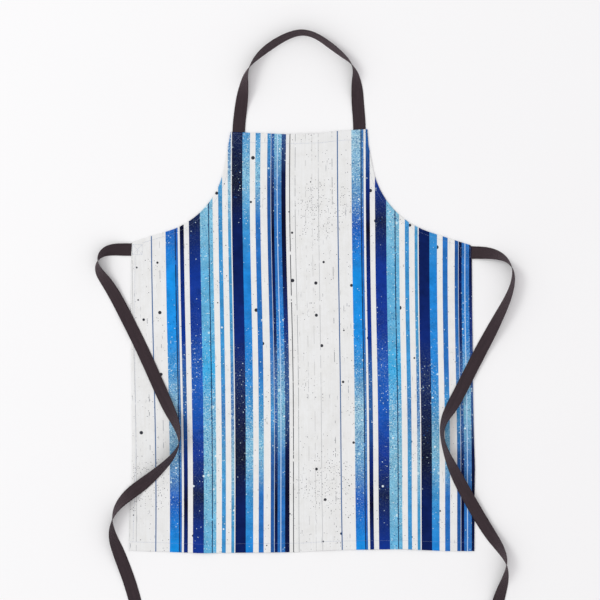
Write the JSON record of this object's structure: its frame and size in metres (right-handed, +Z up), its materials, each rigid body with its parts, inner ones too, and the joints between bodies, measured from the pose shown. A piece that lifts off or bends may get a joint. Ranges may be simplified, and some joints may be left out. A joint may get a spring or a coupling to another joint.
{
  "type": "bib apron",
  "caption": "Bib apron lying flat: striped cotton cloth with curved armholes, a webbing neck loop and webbing waist ties.",
  "frame": {"origin": "under the middle of the cloth panel, at the level of the surface that the apron lies on", "axes": "+X to the right as seen from the front, +Y from the bottom hem towards the bib and the neck loop, +Z up out of the front of the cloth"},
  "size_m": [0.8407, 1.2738, 0.0268],
  "materials": {
    "printed_cloth": "matt woven cotton, white with vertical blue stripes",
    "webbing": "matt twill cotton webbing, brown black",
    "hem_thread": "pale grey-blue sewing thread",
    "webbing_thread": "dark sewing thread"
  },
  "bodies": {
    "root": {"apron_panel": "printed_cloth", "bottom_hem": "printed_cloth", "bib_hem": "printed_cloth", "right_side_hem": "printed_cloth", "left_side_hem": "printed_cloth", "right_armhole_hem": "printed_cloth", "left_armhole_hem": "printed_cloth", "bottom_hem_thread": "hem_thread", "bib_hem_thread": "hem_thread", "right_side_hem_thread": "hem_thread", "left_side_hem_thread": "hem_thread", "right_armhole_thread": "hem_thread", "left_armhole_thread": "hem_thread", "right_neck_box_stitch": "hem_thread", "left_neck_box_stitch": "hem_thread", "right_tie_box_stitch": "hem_thread", "left_tie_box_stitch": "hem_thread", "left_tie_end_thread": "webbing_thread", "right_tie_end_thread": "webbing_thread", "neck_strap": "webbing", "left_waist_tie": "webbing", "right_waist_tie": "webbing", "left_tie_end_hem": "webbing", "right_tie_end_hem": "webbing"}
  },
  "joints": []
}
